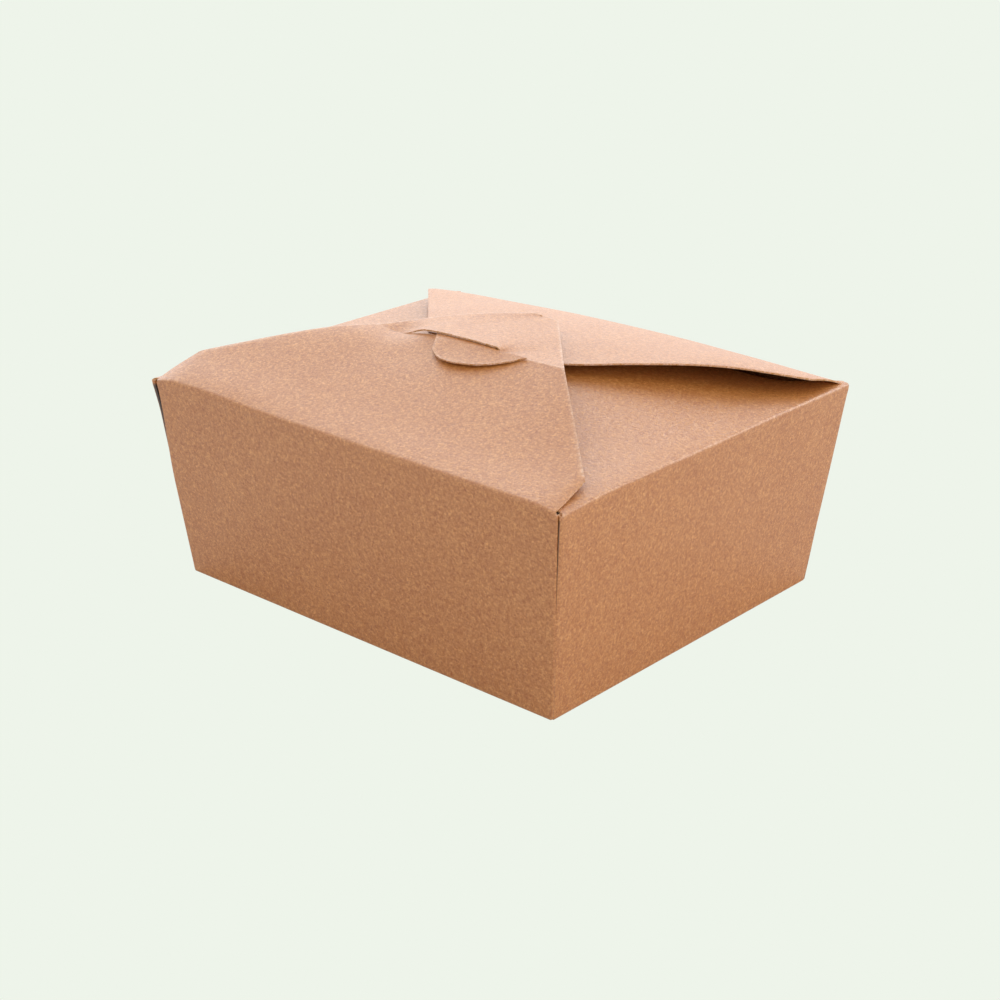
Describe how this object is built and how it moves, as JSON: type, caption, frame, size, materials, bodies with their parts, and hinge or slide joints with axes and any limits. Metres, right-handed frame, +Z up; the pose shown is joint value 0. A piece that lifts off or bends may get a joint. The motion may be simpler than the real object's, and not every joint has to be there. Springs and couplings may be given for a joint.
{
  "type": "takeaway box",
  "caption": "Folded kraft board food box with tapered walls, web corners and overlapping top flaps locked by a round-ended hook pushed through a slit.",
  "frame": {"origin": "centre of the underside of the base, on the table", "axes": "+Z up; X along the long front and rear walls; the front wall, whose flap closes last, faces -Y"},
  "size_m": [0.1634, 0.1398, 0.0827],
  "materials": {
    "kraft_board": "uncoated, matt, lightly mottled fibre"
  },
  "bodies": {
    "box": {"folded_box": "kraft_board"},
    "flap": {"front_flap": "kraft_board"}
  },
  "joints": [
    {"name": "front_flap_fold", "type": "hinge", "parent": "box", "child": "flap", "pos_m": [0, -0.06965, 0.06475], "axis": [1, 0, 0], "range_deg": [0, 180]}
  ]
}
